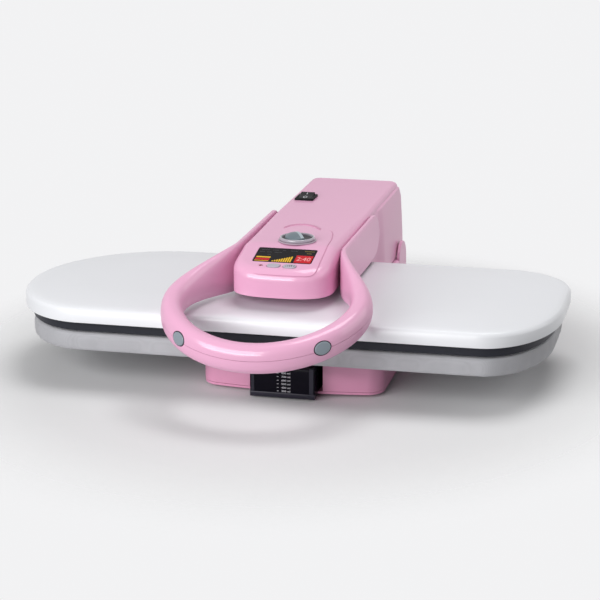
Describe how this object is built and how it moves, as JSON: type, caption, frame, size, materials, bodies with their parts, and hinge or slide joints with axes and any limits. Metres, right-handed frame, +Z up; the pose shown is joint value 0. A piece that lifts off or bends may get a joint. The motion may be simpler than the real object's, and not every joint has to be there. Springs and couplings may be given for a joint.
{
  "type": "steam ironing press",
  "caption": "Table-top steam ironing press: padded bed, heated steam plate under a hinged head, looped handle, control panel and pull-out water tank.",
  "frame": {"origin": "on the floor plane, under the middle of the closed machine's bounding box", "axes": "+X along the pressing plate to the user's right, +Y to the rear where the hinge is, +Z up"},
  "size_m": [0.652, 0.608, 0.1758],
  "materials": {
    "pink plastic": "smooth light pink moulding, glossy",
    "pearl plastic": "smooth pearl white moulding",
    "slate plastic": "dark slate heat-resistant plastic",
    "grey plastic": "satin blue-grey plastic",
    "black plastic": "black plastic",
    "steel": "plain steel",
    "aluminium": "cast and machined",
    "rubber": "soft black rubber",
    "cover cloth": "silver-grey heat-reflecting woven cloth",
    "pad felt": "felt and foam padding",
    "circuit board": "glass-fibre board",
    "smoked plastic": "clear plastic tinted dark",
    "lamp lens": "translucent red lens"
  },
  "bodies": {
    "base": {"base_housing": "pink plastic", "base_floor": "pink plastic", "foot_front_left": "rubber", "foot_front_right": "rubber", "foot_rear_left": "rubber", "foot_rear_right": "rubber", "rear_column": "pink plastic", "cord_gland": "black plastic", "hinge_bracket_left": "steel", "hinge_bracket_right": "steel", "hinge_shaft": "steel", "lift_spring": "steel", "bed_pan": "steel", "bed_pad": "pad felt", "bed_cover": "cover cloth", "tank_tunnel": "grey plastic", "tank_socket": "grey plastic", "pump": "slate plastic", "suction_tube": "grey plastic", "pressure_tube": "grey plastic", "power_board": "circuit board"},
    "head": {"head_housing": "pink plastic", "head_underside": "pink plastic", "head_frame": "steel", "handle_bush_left": "black plastic", "handle_bush_right": "black plastic", "display_window": "black plastic", "power_lamp": "lamp lens", "knob_ring": "pearl plastic", "dial_pot": "steel", "control_board": "circuit board", "switch_body": "black plastic", "steam_tube": "grey plastic"},
    "plate": {"plate_shell": "pearl plastic", "plate_rim": "slate plastic", "heating_plate": "aluminium", "steam_chamber": "aluminium", "heating_element": "steel", "thermal_cutout": "steel", "plate_post": "steel", "press_yoke": "steel"},
    "handle": {"handle_upper": "pink plastic", "handle_lower": "pink plastic", "cross_shaft": "steel", "button_ring_left": "slate plastic", "button_ring_right": "slate plastic"},
    "left steam button": {"steam_button_left": "grey plastic"},
    "right steam button": {"steam_button_right": "grey plastic"},
    "knob": {"temperature_knob": "grey plastic"},
    "left key": {"key_left": "grey plastic"},
    "right key": {"key_right": "grey plastic"},
    "rocker": {"power_rocker": "black plastic"},
    "tank": {"tank_body": "smoked plastic", "tank_lid": "grey plastic", "tank_valve": "slate plastic"}
  },
  "joints": [
    {"name": "head_hinge", "type": "hinge", "parent": "base", "child": "head", "pos_m": [0.006, 0.262, 0.088], "axis": [-1, 0, 0], "range_deg": [0, 50]},
    {"name": "handle_hinge", "type": "hinge", "parent": "head", "child": "handle", "pos_m": [0.006, 0.094, 0.1372], "axis": [-1, 0, 0], "range_deg": [0, 35]},
    {"name": "plate_slide", "type": "slide", "parent": "head", "child": "plate", "axis": [0, 0, 1], "range_m": [0, 0.0025]},
    {"name": "steam_button_left_slide", "type": "slide", "parent": "handle", "child": "left steam button", "axis": [0.6044, 0.7922, -0.0846], "range_m": [0, 0.002], "stiffness_N_per_m": 300},
    {"name": "steam_button_right_slide", "type": "slide", "parent": "handle", "child": "right steam button", "axis": [-0.6044, 0.7922, -0.0846], "range_m": [0, 0.002], "stiffness_N_per_m": 300},
    {"name": "knob_turn", "type": "hinge", "parent": "head", "child": "knob", "pos_m": [0.0092, -0.061, 0.165], "axis": [0, 0, -1], "range_deg": [0, 270]},
    {"name": "key_left_slide", "type": "slide", "parent": "head", "child": "left key", "axis": [0, 0.1908, -0.9816], "range_m": [0, 0.0012], "stiffness_N_per_m": 300},
    {"name": "key_right_slide", "type": "slide", "parent": "head", "child": "right key", "axis": [0, 0.1908, -0.9816], "range_m": [0, 0.0012], "stiffness_N_per_m": 300},
    {"name": "rocker_pivot", "type": "hinge", "parent": "head", "child": "rocker", "pos_m": [-0.0325, 0.17, 0.165], "axis": [-1, 0, 0], "range_deg": [0, 12]},
    {"name": "tank_slide", "type": "slide", "parent": "base", "child": "tank", "axis": [0, -1, 0], "range_m": [0, 0.17]}
  ],
  "couplings": [
    {"joint": "plate_slide", "follows": "handle_hinge", "m_per_rad": 0.0040925}
  ]
}
